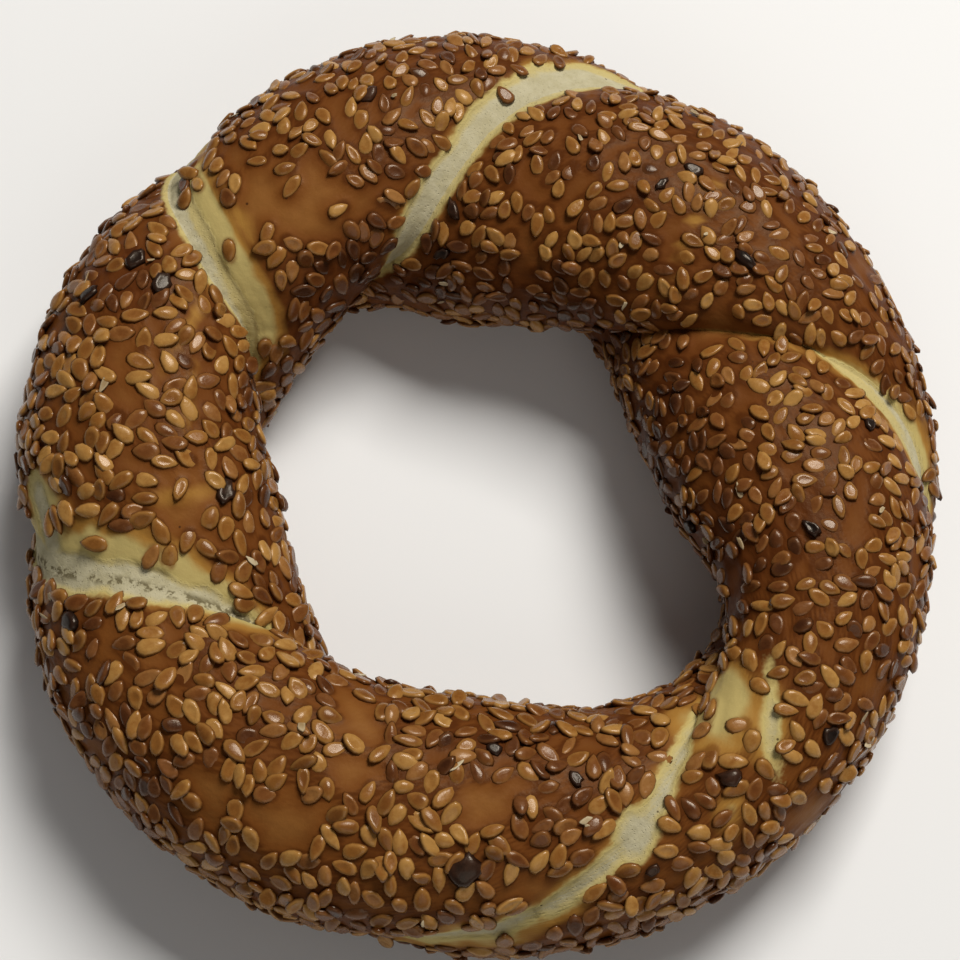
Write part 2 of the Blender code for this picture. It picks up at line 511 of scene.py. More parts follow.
@dataclass(frozen=True)
class SeedShape:
    """A flat teardrop with a rounded rim: mean length, width and thickness in metres, and how they vary."""

    length: float
    width: float
    thickness: float
    spread: float = 0.09
    lumps: float = 0.03
    dish: float = 0.12
    tilt: float = 8.0
    lift: tuple[float, float] = (0.00002, 0.00026)
    segments: int = 12

    def rings(self) -> np.ndarray:
        """Share of the outline's size, height of a domed seed, fall of its dish and rim weight, ring by ring."""
        return np.array(
            (
                (0.46, 0.46, 0.65, 0.10),
                (0.80, 0.32, -0.45, 1.00),
                (1.00, 0.03, 0.0, 0.55),
                (0.76, -0.36, 0.0, 0.0),
            )
        )

    def build(self, name: str, spots: "Spots", rng: np.random.Generator) -> bpy.types.Object:
        """Make all seeds of one kind as one mesh.

        The outline is an ellipse narrowed towards one end, less a bite that grows with the cube of the nearness
        to the tip. Rings of that outline, shrunk and raised, are closed by a point above and one below. Seeds on
        the base are pressed flat against the floor.

        Args:
            name: The name of the piece.
            spots: Where the seeds lie.
            rng: The source of their unevenness.

        Returns:
            The object, with the attributes tone, rim and shade on its points.
        """
        count = len(spots.centre)
        turn = np.arange(self.segments) * 2 * np.pi / self.segments
        rings = self.rings()
        sizes = 1 + self.spread * rng.standard_normal((count, 3)).clip(-2, 2)
        dish = self.dish * rng.uniform(-0.5, 1.9, (count, 1, 1))
        taper = rng.uniform(0.12, 0.26, (count, 1))
        tip = 0.26 * np.maximum(np.cos(turn), 0) ** 3
        wobble = 1 + self.lumps * rng.standard_normal((count, self.segments))
        x = 0.5 * self.length * sizes[:, :1] * np.cos(turn) * wobble
        y = 0.5 * self.width * sizes[:, 1:2] * np.sin(turn) * (1 - taper * np.cos(turn)) * (1 - tip) * wobble
        share, domed, hollow, rim = rings.T
        height = self.thickness * sizes[:, 2][:, None, None] * (domed[:, None] - dish * hollow[:, None])
        grid = np.stack(
            (
                x[:, None, :] * share[:, None],
                y[:, None, :] * share[:, None],
                np.broadcast_to(height, (count, len(share), self.segments)),
            ),
            axis=-1,
        ).reshape(count, -1, 3)
        thick = self.thickness * sizes[:, 2]
        top = np.stack((0 * thick, 0 * thick, thick * (0.5 - dish[:, 0, 0])), axis=-1)[:, None, :]
        bottom = np.stack((0 * thick, 0 * thick, -0.42 * thick), axis=-1)[:, None, :]
        local = np.concatenate((grid, top, bottom), axis=1)
        local *= spots.size[:, None, None]
        points = spots.centre[:, None, :] + np.einsum("nvi,nij->nvj", local, spots.axes)
        faces = self.faces()
        points[..., 2] = np.maximum(points[..., 2], 0.0)
        per_seed = local.shape[1]
        corners = [
            (block[None, :, :] + per_seed * np.arange(count)[:, None, None]).reshape(-1, block.shape[1])
            for block in faces
        ]
        piece = mesh_piece(name, points.reshape(-1, 3), corners)
        rims = np.concatenate((np.repeat(rim, self.segments), (0.0, 0.0)))
        heights = np.concatenate((np.repeat(domed, self.segments), (0.5, -0.42)))
        write_attribute(piece, "tone", np.repeat(spots.tone, per_seed))
        write_attribute(piece, "rim", np.tile(rims, count))
        # Painted contact shade on the seeds' lower rings, read by their finish.
        write_attribute(piece, "shade", np.tile(smooth_step(heights, -0.1, 0.35), count))
        return piece

    def faces(self) -> list[np.ndarray]:
        """The quads between the rings, and the triangles that close them above and below."""
        ring, step = np.meshgrid(np.arange(len(self.rings()) - 1), np.arange(self.segments), indexing="ij")
        beside = (step + 1) % self.segments
        low, high = (ring + 1) * self.segments, ring * self.segments
        quads = np.stack((low + step, low + beside, high + beside, high + step), axis=-1).reshape(-1, 4)
        step = np.arange(self.segments)
        beside = (step + 1) % self.segments
        last = (len(self.rings()) - 1) * self.segments
        top = len(self.rings()) * self.segments
        upper = np.stack((step, beside, np.full_like(step, top)), axis=-1)
        lower = np.stack((last + beside, last + step, np.full_like(step, top + 1)), axis=-1)
        return [quads, np.concatenate((upper, lower))]


@dataclass
class Spots:
    """Places of seeds: centres, axes as rows along length, width and outwards, tones from 0 to 1, and sizes."""

    centre: np.ndarray
    axes: np.ndarray
    tone: np.ndarray
    size: np.ndarray


@dataclass(frozen=True)
class Char:
    """A burnt seed or lump, by its place on the skin and its size beside an ordinary seed."""

    roll: int
    across: float
    station: float
    size: float = 1.0


@dataclass
class Landed:
    """Seeds as they land: points on the skin, its outward direction, the tips' and the leanings' directions.

    A leaning points to the seed that this one lies on, and its length is how much it does so, from 0 to 1.
    """

    points: np.ndarray
    normal: np.ndarray
    ahead: np.ndarray
    leaning: np.ndarray

    def take(self, chosen: np.ndarray) -> "Landed":
        """The chosen seeds."""
        return Landed(self.points[chosen], self.normal[chosen], self.ahead[chosen], self.leaning[chosen])

    def joined(self, others: "Landed") -> "Landed":
        """These seeds and the others."""
        pairs = zip(vars(self).values(), vars(others).values())
        return Landed(*(np.concatenate(pair) for pair in pairs))


def across_direction(direction: np.ndarray, up: np.ndarray) -> np.ndarray:
    """The unit directions that are left of some directions when the part along up is taken off."""
    flat = direction - (direction * up).sum(axis=1, keepdims=True) * up
    return flat / np.maximum(np.linalg.norm(flat, axis=1, keepdims=True), 1e-12)


def mesh_piece(name: str, points: np.ndarray, faces: list[np.ndarray]) -> bpy.types.Object:
    """Make a smooth-shaded mesh object at the origin.

    Args:
        name: The name of the piece.
        points: Its points, as rows.
        faces: Blocks of faces, each an array with one row of corners a face.

    Returns:
        The object, linked to the scene.
    """
    mesh = bpy.data.meshes.new(name)
    mesh.vertices.add(len(points))
    mesh.vertices.foreach_set("co", points.astype(np.float32).ravel())
    sizes = np.concatenate([np.full(len(block), block.shape[1]) for block in faces])
    corners = np.concatenate([block.ravel() for block in faces])
    mesh.loops.add(len(corners))
    mesh.loops.foreach_set("vertex_index", corners.astype(np.int32))
    mesh.polygons.add(len(sizes))
    mesh.polygons.foreach_set("loop_start", (np.cumsum(sizes) - sizes).astype(np.int32))
    mesh.update(calc_edges=True)
    mesh.validate()
    mesh.shade_smooth()
    piece = bpy.data.objects.new(name, mesh)
    bpy.context.scene.collection.objects.link(piece)
    return piece


def write_attribute(piece: bpy.types.Object, name: str, values: np.ndarray) -> None:
    """Store one number for each point of a piece.

    Args:
        piece: The mesh object.
        name: The attribute's name, as its material reads it.
        values: The numbers, in the order of the points.
    """
    attribute = piece.data.attributes.new(name, "FLOAT", "POINT")
    attribute.data.foreach_set("value", values.astype(np.float32))


@dataclass
class SeedCoat:
    """The scatter of sesame over the ring, denser in some places than in others."""

    ring: Ring
    bands: Bands
    shapes: dict[SeedKind, SeedShape]
    shares: dict[SeedKind, float]
    chars: tuple[Char, ...]
    rounds: int = 190
    tries: int = 480
    clear: float = 0.00080
    lobe: float = 0.00084
    calm: float = 0.62
    overlap: float = 0.60
    size_drift: float = 2.0
    # How much the darkening towards the far right turns seeds to the darker kinds.
    far_right_weight: float = 0.05
    # How much the patches of painted shade turn seeds to the darker kinds and darken their tone.
    patch_shade: float = 0.75
    dimming: float = 0.45
    lean: float = 24.0
    prop: float = 0.00032
    flakes: int = 90
    noise: SoftNoise = SoftNoise(23)
    seed: int = 5
    spots: dict[SeedKind, Spots] = field(default_factory=dict)

    def area_table(self, steps: int = 60) -> tuple[np.ndarray, np.ndarray]:
        """Measure the skin in small cells, so that places can be drawn evenly by area.

        Args:
            steps: How many cells a roll has each way.

        Returns:
            The running total of the cells' areas, and the roll, across and station of each cell's corner.
        """
        edge = np.arange(steps) / steps
        roll, across, station = np.meshgrid(np.arange(len(self.ring.seams)), edge, 2 * edge, indexing="ij")
        here = self.ring.place(roll, across, station)
        over = self.ring.place(roll, across + 1 / steps, station) - here
        round_it = self.ring.place(roll, across, station + 2 / steps) - here
        area = np.linalg.norm(np.cross(over, round_it), axis=-1).ravel()
        cells = np.stack((roll.ravel(), across.ravel(), station.ravel()), axis=-1)
        return np.cumsum(area), cells

    def draw(self, rng: np.random.Generator, table: tuple[np.ndarray, np.ndarray], count: int) -> np.ndarray:
        """Draw places evenly over the skin, as rows of roll, across and station."""
        total, cells = table
        steps = round((len(total) / len(self.ring.seams)) ** 0.5)
        chosen = np.searchsorted(total, rng.uniform(0, total[-1], count))
        places = cells[chosen].astype(float)
        places[:, 1] += rng.uniform(0, 1 / steps, count)
        places[:, 2] += rng.uniform(0, 2 / steps, count)
        return places

    def welcome(self, points: np.ndarray, roll: np.ndarray, station: np.ndarray) -> np.ndarray:
        """Find where a seed sticks.

        The likelihood is a cloudy noise, cut to nothing on torn dough and in the crease, and thinned on golden
        crust, in the bare patches and on the underside. A finer noise that stays below it lets the seed stick.

        Args:
            points: Places on the skin, as rows.
            roll: The roll of each place.
            station: The station of each place.

        Returns:
            True for each place that holds a seed.
        """
        gaps = self.bands.read(points, roll)
        likely = np.clip(0.86 + 0.8 * self.noise.at(points, 0.008, 2), 0.10, 1.0)
        likely = likely * smooth_step(gaps["torn"], 0.0001, 0.0013)
        likely = likely * smooth_step(gaps["crease"], 0.0004, 0.0014)
        likely = likely * (0.34 + 0.66 * smooth_step(gaps["golden"], -0.0008, 0.0006))
        likely = likely * (0.10 + 0.90 * smooth_step(gaps["bare"], -0.0010, 0.0012))
        under = smooth_step(points[:, 2], 0.0035, 0.0008) * smooth_step(station, 1.1, 1.3)
        chance = 0.5 + 0.65 * SoftNoise(self.seed).at(points, 0.0028)
        return chance < likely * (1 - 0.55 * under)

    def lobes(self, centre: np.ndarray, ahead: np.ndarray) -> np.ndarray:
        """Three points along each seed's length, whose discs stand for its outline."""
        return np.stack((centre - self.lobe * ahead, centre, centre + self.lobe * ahead), axis=1)

    def lay(self, rng: np.random.Generator, roll: np.ndarray, across: np.ndarray, station: np.ndarray) -> Landed:
        """Lay seeds on the skin at these places, each with its tip any way round."""
        points, normal = self.ring.place(roll, across, station), self.ring.normal(roll, across, station)
        ahead = across_direction(rng.standard_normal(normal.shape), normal)
        return Landed(points, normal, ahead, np.zeros_like(normal))

    def throw(self, rng: np.random.Generator, table: tuple[np.ndarray, np.ndarray], count: int) -> Landed:
        """Throw seeds over the skin, and keep those that stick where they land."""
        places = self.draw(rng, table, count)
        roll, across, station = places[:, 0].astype(int), places[:, 1], places[:, 2]
        sticks = self.welcome(self.ring.place(roll, across, station), roll, station)
        return self.lay(rng, roll[sticks], across[sticks], station[sticks])

    def scatter(self) -> None:
        """Lay the burnt seeds at their places, then throw the others in rounds, and give them their kinds.

        A seed finds room if its discs are clear of all earlier ones. In the last rounds seeds may overlap by
        about half and lean on those below. Flakes of husk lie over the seeds.
        """
        rng = np.random.default_rng(self.seed)
        table = self.area_table()
        chars = np.array([(char.roll, char.across, char.station, char.size) for char in self.chars])
        landed = self.lay(rng, chars[:, 0].astype(int), chars[:, 1], chars[:, 2])
        for turn in range(self.rounds):
            thrown = self.throw(rng, table, self.tries)
            room = 2 * self.clear * self.sizes(thrown.points)
            reach = room * (self.overlap if turn > self.calm * self.rounds else 1.0)
            gap, toward = self.nearest(thrown, landed)
            lobes = self.lobes(thrown.points, thrown.ahead)
            among = np.linalg.norm(lobes[:, None, :, None] - lobes[None, :, None, :], axis=-1).min(axis=(2, 3))
            crowded = np.tril(among < 2 * self.clear, -1).any(axis=1)
            thrown.leaning = smooth_step(gap / room, 1.0, 0.55)[:, None] * toward
            landed = landed.joined(thrown.take((gap > reach) & ~crowded))
        is_char = np.arange(len(landed.points)) < len(chars)
        self.spots[SeedKind.BURNT] = self.pose(self.shapes[SeedKind.BURNT], landed.take(is_char), rng)
        self.spots[SeedKind.BURNT].size = chars[:, 3]
        self.sort_kinds(landed.take(~is_char), rng)
        flakes = self.throw(rng, table, self.flakes)
        self.spots[SeedKind.HUSK] = self.pose(self.shapes[SeedKind.HUSK], flakes, rng)

    def nearest(self, thrown: Landed, landed: Landed) -> tuple[np.ndarray, np.ndarray]:
        """Find the landed seed nearest to each thrown one.

        Args:
            thrown: The new seeds.
            landed: The seeds already there.

        Returns:
            The distance between the two seeds' nearest lobes, and the direction from the new seed to the other.
        """
        first = self.lobes(thrown.points, thrown.ahead)
        second = self.lobes(landed.points, landed.ahead).reshape(-1, 3)
        flat = first.reshape(-1, 3)
        squares = (flat**2).sum(axis=1)[:, None] - 2 * flat @ second.T + (second**2).sum(axis=1)
        squares = squares.reshape(len(first), -1)
        best = squares.argmin(axis=1) % len(second)
        gap = np.sqrt(np.maximum(squares.min(axis=1), 0.0))
        return gap, across_direction(second[best] - thrown.points, thrown.normal)

    def sort_kinds(self, landed: Landed, rng: np.random.Generator) -> None:
        """Give every seed its kind and exact pose.

        How brown a seed is follows a cloudy noise, chance, the darkening towards the far right, and the painted
        shade of the patches it lies in; the kinds take their shares from the palest to the brownest.

        Args:
            landed: Where the seeds lie.
            rng: The source of chance.
        """
        brown = 0.8 * self.noise.at(landed.points, 0.014, 2) + 0.5 * rng.standard_normal(len(landed.points))
        # The darkening towards the far right, and the painted shade of the shade patches.
        brown += self.far_right_weight * self.ring.far_right_darkening(landed.points) + self.patch_shade * self.bands.patch_shade(landed.points)
        rank = brown.argsort().argsort() / len(landed.points)
        low = 0.0
        for kind, share in self.shares.items():
            chosen = (rank >= low) & (rank < low + share)
            low += share
            self.spots[kind] = self.pose(self.shapes[kind], landed.take(chosen), rng)

    def pose(self, shape: SeedShape, landed: Landed, rng: np.random.Generator) -> Spots:
        """Tip seeds a little out of the skin's plane, lift them, and prop those that lean on others.

        Args:
            shape: The seeds' shape.
            landed: Where the seeds lie.
            rng: The source of chance.

        Returns:
            The spots. Seeds on the base lie flat.
        """
        count = len(landed.points)
        lean = math.radians(shape.tilt) * rng.standard_normal((count, 2)).clip(-2.5, 2.5)
        lift = rng.uniform(*shape.lift, count) + self.prop * np.linalg.norm(landed.leaning, axis=1)
        on_base = (landed.normal[:, 2] < -0.9) & (landed.points[:, 2] < 0.002)
        lean[on_base], lift[on_base] = 0.0, 0.0
        landed.leaning[on_base] = 0.0
        aside = np.cross(landed.normal, landed.ahead)
        up = landed.normal + np.tan(lean[:, :1]) * landed.ahead + np.tan(lean[:, 1:]) * aside
        up -= math.tan(math.radians(self.lean)) * landed.leaning
        up /= np.linalg.norm(up, axis=1, keepdims=True)
        along = across_direction(landed.ahead, up)
        axes = np.stack((along, np.cross(up, along), up), axis=1)
        centre = landed.points + landed.normal * (lift + self.ring.lumps(landed.points))[:, None]
        # Painted shade: seeds in the shade patches get a darker tone.
        tone = rng.uniform(0, 1, count) - self.dimming * self.bands.patch_shade(landed.points)
        return Spots(centre, axes, tone, self.sizes(landed.points))

    def sizes(self, points: np.ndarray) -> np.ndarray:
        """How large seeds are at these places, against the mean: they grow a little towards -X and -Y."""
        return np.clip(1 - self.size_drift * (points[:, 0] + points[:, 1]), 0.84, 1.06)

    def nearest_gap(self, points: np.ndarray, chunk: int = 3000) -> np.ndarray:
        """Measure how far points are from the outline of the nearest seed.

        Each point finds the nearest of all seeds' middles and ends, and takes off that disc's radius.

        Args:
            points: The points, as rows.
            chunk: How many points are measured at once.

        Returns:
            The distances in metres, below zero under a seed.
        """
        spots = [part for kind, part in self.spots.items() if kind is not SeedKind.HUSK]
        centre = np.concatenate([part.centre for part in spots])
        ahead = np.concatenate([part.axes[:, 0] for part in spots])
        discs = self.lobes(centre, ahead).reshape(-1, 3).astype(np.float32)
        squares = (discs**2).sum(axis=1)
        gaps = []
        for start in range(0, len(points), chunk):
            block = points[start : start + chunk].astype(np.float32)
            apart = (block**2).sum(axis=1)[:, None] - 2 * block @ discs.T + squares
            gaps.append(np.sqrt(np.maximum(apart.min(axis=1), 0.0)))
        return np.concatenate(gaps) - self.clear

    def crowding(self, points: np.ndarray, reach: float = 0.005, chunk: int = 3000) -> np.ndarray:
        """Find how full of seeds the surroundings of points are, from 0 to about 1."""
        centre = np.concatenate([part.centre for part in self.spots.values()]).astype(np.float32)
        squares = (centre**2).sum(axis=1)
        found = []
        for start in range(0, len(points), chunk):
            block = points[start : start + chunk].astype(np.float32)
            apart = (block**2).sum(axis=1)[:, None] - 2 * block @ centre.T + squares
            found.append(np.exp(-apart / (0.5 * reach**2)).sum(axis=1))
        return np.concatenate(found) / 4.2

    def build(self) -> list[bpy.types.Object]:
        """Make one piece for each kind."""
        rng = np.random.default_rng(self.seed + 1)
        return [self.shapes[kind].build(kind.value, spots, rng) for kind, spots in self.spots.items()]


@dataclass
class Skin:
    """The bread's outer surface: lumpy, pulled up round the seeds, and stepped down where the dough has torn."""

    ring: Ring
    bands: Bands
    coat: SeedCoat
    steps_across: int = 96
    steps_round: int = 200
    base: float = 0.00012
    wrinkle: float = 0.00007
    glaze_pull: float = 0.00022
    tear_step: float = 0.00028
    strand: float = 0.00020
    noise: SoftNoise = SoftNoise(37)

    def grid(self) -> tuple[np.ndarray, np.ndarray, np.ndarray]:
        """Roll, across and station of every point: rows round the cross-section, and finer beside the seams."""
        even = np.arange(self.steps_across) / self.steps_across
        across = 0.5 * even + 0.5 * (0.5 - 0.5 * np.cos(np.pi * even))
        rolls = len(self.ring.seams)
        roll = np.repeat(np.arange(rolls), self.steps_across)
        station = np.arange(self.steps_round) * 2.0 / self.steps_round
        shape = (self.steps_round, rolls * self.steps_across)
        return (
            np.broadcast_to(roll, shape),
            np.broadcast_to(np.tile(across, rolls), shape),
            np.broadcast_to(station[:, None], shape),
        )

    def quads(self) -> np.ndarray:
        """The faces. Round the cross-section, the last row joins the first two rolls further on."""
        columns = self.steps_across * len(self.ring.seams)
        row, column = np.meshgrid(np.arange(self.steps_round), np.arange(columns), indexing="ij")
        beside = (column + 1) % columns
        moved = np.where(row == self.steps_round - 1, 2 * self.steps_across, 0)
        above = (row + 1) % self.steps_round * columns
        corners = (
            row * columns + column,
            row * columns + beside,
            above + (beside + moved) % columns,
            above + (column + moved) % columns,
        )
        return np.stack(corners, axis=-1).reshape(-1, 4)

    def build(self) -> bpy.types.Object:
        """Make the skin.

        The relief along the skin's own direction is the broad lumps, a fine wrinkle, the glaze that climbs
        towards each seed and a step down inside torn dough. Strands of dough follow a noise that is drawn out
        along the seams.

        Returns:
            The object, with the attributes that its finish reads, gaps in millimetres.
        """
        roll, across, station = (part.ravel() for part in self.grid())
        points = self.ring.place(roll, across, station)
        normal = self.ring.normal(roll, across, station)
        gaps = self.bands.read(points, roll)
        seed_gap = self.coat.nearest_gap(points)
        torn = smooth_step(gaps["torn"], 0.0003, -0.0004)
        drawn_out = np.stack((gaps["crease"], 0.0040 * station, 0.01 * roll), axis=-1)
        strand = SoftNoise(41).at(drawn_out, 0.0011, 2)
        relief = self.wrinkle * self.noise.at(points, 0.0014, 2) * (1 - torn)
        relief += self.glaze_pull * smooth_step(seed_gap, 0.0011, -0.0001) * (1 - torn)
        relief += torn * (0.00012 * self.noise.at(points, 0.0011, 2) - self.tear_step)
        relief += self.strand * strand * gaps["strands"] * smooth_step(gaps["golden"], 0.0, -0.0010)
        relief = relief * smooth_step(points[:, 2], 0.0006, 0.0025) + self.ring.lumps(points)
        points = points + normal * relief[:, None]
        points[:, 2] = np.maximum(points[:, 2], self.base)
        piece = mesh_piece("bread_skin", points, [self.quads()])
        write_attribute(piece, "far_right_darkening", self.ring.far_right_darkening(points))
        for name in ("crease", "torn", "golden"):
            write_attribute(piece, f"{name}_gap", gaps[name] / MILLIMETRE)
        for name in ("pits", "strands"):
            write_attribute(piece, name, gaps[name])
        write_attribute(piece, "strand", strand)
        # Painted shade of the shade patches, read by the crust's finish.
        write_attribute(piece, "patch_shade", self.bands.patch_shade(points))
        write_attribute(piece, "seed_gap", seed_gap / MILLIMETRE)
        write_attribute(piece, "crowd", self.coat.crowding(points))
        return piece


class NodeBoard:
    """A material and its nodes, added and joined one call at a time."""

    def __init__(self, name: str) -> None:
        """Start a material with a Principled shader and Object coordinates."""
        self.material = bpy.data.materials.new(name)
        self.material.use_nodes = True
        self.tree = self.material.node_tree
        self.shader = self.tree.nodes["Principled BSDF"]
        self.coordinates = self.tree.nodes.new("ShaderNodeTexCoord").outputs["Object"]

    def join(self, value: object, socket: bpy.types.NodeSocket) -> None:
        """Feed a socket from another socket, or set it to a plain value."""
        if isinstance(value, bpy.types.NodeSocket):
            self.tree.links.new(value, socket)
        else:
            socket.default_value = value

    def attribute(self, name: str) -> bpy.types.NodeSocket:
        """Read one of the mesh's numbers."""
        node = self.tree.nodes.new("ShaderNodeAttribute")
        node.attribute_name = name
        return node.outputs["Fac"]

    def math(self, operation: str, *values: object) -> bpy.types.NodeSocket:
        """Calculate with two numbers, and with the result and the next one, by the name of the operation."""
        result = values[0]
        for value in values[1:]:
            node = self.tree.nodes.new("ShaderNodeMath")
            node.operation = operation
            self.join(result, node.inputs[0])
            self.join(value, node.inputs[1])
            result = node.outputs["Value"]
        return result

    def add(self, *values: object) -> bpy.types.NodeSocket:
        """The sum of some numbers."""
        return self.math("ADD", *values)

    def times(self, *values: object) -> bpy.types.NodeSocket:
        """The product of some numbers."""
        return self.math("MULTIPLY", *values)

    def mix_value(self, share: object, first: object, second: object) -> bpy.types.NodeSocket:
        """Blend two numbers."""
        node = self.tree.nodes.new("ShaderNodeMix")
        for index, part in ((0, share), (2, first), (3, second)):
            self.join(part, node.inputs[index])
        return node.outputs[0]

    def step(self, value: object, low: float, high: float, to_low: float = 0.0, to_high: float = 1.0) -> object:
        """Rise smoothly from one value to another while the input goes from low to high."""
        node = self.tree.nodes.new("ShaderNodeMapRange")
        node.interpolation_type = "SMOOTHSTEP"
        for index, part in enumerate((value, low, high, to_low, to_high)):
            self.join(part, node.inputs[index])
        return node.outputs["Result"]

    def noise(self, grain: float, detail: float = 3.0, rough: float = 0.55) -> bpy.types.NodeSocket:
        """Cloudy noise from 0 to 1, whose grain is in metres."""
        node = self.tree.nodes.new("ShaderNodeTexNoise")
        self.join(self.coordinates, node.inputs["Vector"])
        self.join(1 / grain, node.inputs["Scale"])
        self.join(detail, node.inputs["Detail"])
        self.join(rough, node.inputs["Roughness"])
        return node.outputs["Fac"]

    def cells(self, grain: float, jitter: float = 1.0) -> bpy.types.NodeSocket:
        """Distance to the nearest of scattered points, in cells of this grain in metres."""
        node = self.tree.nodes.new("ShaderNodeTexVoronoi")
        self.join(self.coordinates, node.inputs["Vector"])
        self.join(1 / grain, node.inputs["Scale"])
        self.join(jitter, node.inputs["Randomness"])
        return node.outputs["Distance"]

    def mix(self, share: object, first: object, second: object, how: str = "MIX") -> bpy.types.NodeSocket:
        """Blend two colours."""
        node = self.tree.nodes.new("ShaderNodeMix")
        node.data_type = "RGBA"
        node.blend_type = how
        for index, part in ((0, share), (6, first), (7, second)):
            self.join(part, node.inputs[index])
        return node.outputs[2]

    def ramp(self, value: object, stops: tuple[tuple[float, tuple[float, ...]], ...]) -> bpy.types.NodeSocket:
        """Turn a number into a colour that runs through these stops."""
        node = self.tree.nodes.new("ShaderNodeValToRGB")
        elements = node.color_ramp.elements
        while len(elements) < len(stops):
            elements.new(0.5)
        for element, (position, colour) in zip(elements, stops):
            element.position = position
            element.color = colour
        self.join(value, node.inputs["Fac"])
        return node.outputs["Color"]

    def bump(self, height: object, distance: float, strength: float = 1.0) -> None:
        """Rough up the shader by a height from 0 to 1 over a distance in metres."""
        node = self.tree.nodes.new("ShaderNodeBump")
        self.join(strength, node.inputs["Strength"])
        self.join(distance, node.inputs["Distance"])
        self.join(height, node.inputs["Height"])
        self.join(node.outputs["Normal"], self.shader.inputs["Normal"])

    def set(self, **sockets: object) -> None:
        """Feed the shader's sockets, whose names are given with _ for a space."""
        for name, value in sockets.items():
            self.join(value, self.shader.inputs[name.replace("_", " ")])


@dataclass(frozen=True)
class CrustFinish:
    """Glazed brown crust that is paler near the seams, with cream-coloured torn dough along them."""

    bare: tuple[float, ...] = linear(127, 82, 38)
    dark_crust: tuple[float, ...] = linear(111, 65, 26)
    crowded: tuple[float, ...] = linear(87, 45, 17)
    glaze_and_shade_ring: tuple[float, ...] = linear(64, 29, 9)
    golden: tuple[float, ...] = linear(158, 115, 52)
    straw: tuple[float, ...] = linear(184, 166, 105)
    cream: tuple[float, ...] = linear(181, 173, 143)
    crumb: tuple[float, ...] = linear(168, 159, 126)
    pit_shade: tuple[float, ...] = linear(112, 103, 76)
    pinhole_shade: tuple[float, ...] = linear(48, 27, 14)
    roughness: float = 0.48
    wet_roughness: float = 0.32
    crumb_roughness: float = 0.80
    shine: float = 0.07
    shine_tint: tuple[float, ...] = (1.0, 0.74, 0.46, 1.0)

    def crust(self, board: NodeBoard, seed_gap: object, golden_gap: object) -> bpy.types.NodeSocket:
        """The crust's colour: dark round the seeds, with painted shade at their feet and where they crowd, paler in
        the open, mottled, with painted shade in the shade patches, and golden along the seams.
        """
        broad = board.noise(0.013, 3.0)
        open_gap = board.add(seed_gap, board.times(board.add(broad, -0.5), 2.2))
        colour = board.mix(board.step(open_gap, 2.6, 0.2), self.bare, self.dark_crust)
        # Painted shade where the seeds crowd, together with the darkening towards the far right.
        shade = board.step(board.add(board.attribute("crowd"), board.times(board.attribute("far_right_darkening"), 0.25)), 0.5, 1.4)
        colour = board.mix(board.times(shade, 0.55), colour, self.crowded)
        # Painted shade in the shade patches, mostly on the walls of the hole.
        colour = board.mix(board.times(board.attribute("patch_shade"), 0.78), colour, self.crowded)
        mottle = board.step(board.noise(0.004, 4.0, 0.6), 0.42, 0.75)
        colour = board.mix(board.times(mottle, 0.30), colour, self.crowded)
        # Painted contact shade round each seed's foot, together with the darker glaze that pools there.
        glaze_and_shade_ring = board.times(board.step(seed_gap, 0.55, -0.1), 0.65)
        colour = board.mix(glaze_and_shade_ring, colour, self.glaze_and_shade_ring)
        golden = board.mix(board.step(golden_gap, -0.9, -2.6), self.golden, self.straw)
        golden = board.mix(glaze_and_shade_ring, golden, self.dark_crust)
        return board.mix(board.times(board.step(golden_gap, 1.0, -1.3), 0.90), colour, golden)

    def dough(self, board: NodeBoard, torn_gap: object) -> bpy.types.NodeSocket:
        """The torn dough's colour: whitest in the middle, straw-coloured at its edge, with painted shade in its pits
        along the crease.
        """
        strands = board.attribute("strands")
        torn_gap = board.add(torn_gap, board.times(strands, 2.4), board.times(strands, board.attribute("strand"), 1.6))
        soft = board.step(board.noise(0.0022, 4.0, 0.65), 0.30, 0.72)
        colour = board.mix(soft, self.cream, self.crumb)
        colour = board.mix(board.times(board.step(torn_gap, -1.0, 0.0), 0.8), colour, self.straw)
        crease = board.step(board.attribute("crease_gap"), 1.1, 0.3)
        # Painted shade in the pits of the dough along the crease.
        holes = board.step(board.noise(0.0019, 3.0, 0.75), 0.48, 0.56)
        return board.mix(board.times(holes, crease, board.attribute("pits")), colour, self.pit_shade)

    def make(self) -> bpy.types.Material:
        """Make the material from the skin's gaps and noises of several grains."""
        board = NodeBoard("baked_crust")
        torn_gap = board.add(board.attribute("torn_gap"), board.times(board.noise(0.0012, 4.0, 0.6), 1.1), -0.55)
        strand = board.times(board.attribute("strands"), board.attribute("strand"), 3.2)
        golden_gap = board.add(board.attribute("golden_gap"), board.times(board.noise(0.006, 3.0), 2.4), strand, -1.2)
        seed_gap = board.attribute("seed_gap")
        colour = self.crust(board, seed_gap, golden_gap)
        colour = board.mix(board.step(torn_gap, 0.9, 0.05), colour, self.straw)
        torn = board.step(torn_gap, 0.28, -0.15)
        colour = board.mix(torn, colour, self.dough(board, torn_gap))
        # Painted shade in scattered pinholes of the crust.
        pinholes = board.step(board.cells(0.0042), 0.055, 0.03)
        colour = board.mix(board.times(pinholes, 0.8), colour, self.pinhole_shade)

        wet = board.step(seed_gap, 0.7, 0.1)
        rough = board.mix_value(wet, self.roughness, self.wet_roughness)
        rough = board.mix_value(torn, rough, self.crumb_roughness)
        uneven = board.step(board.noise(0.0028, 3.0), 0.3, 0.75, -0.05, 0.08)
        board.set(Base_Color=colour, Roughness=board.add(rough, uneven))
        board.set(Specular_IOR_Level=self.shine, Specular_Tint=self.shine_tint)
        grain = board.times(board.noise(0.0006, 4.0, 0.65), board.mix_value(torn, 0.25, 0.6))
        pores = board.times(board.step(board.cells(0.00042), 0.05, 0.30), torn, 0.35)
        board.bump(board.add(grain, board.times(board.noise(0.0019, 2.0), 0.45), pores), 0.00022, 0.8)
        return board.material


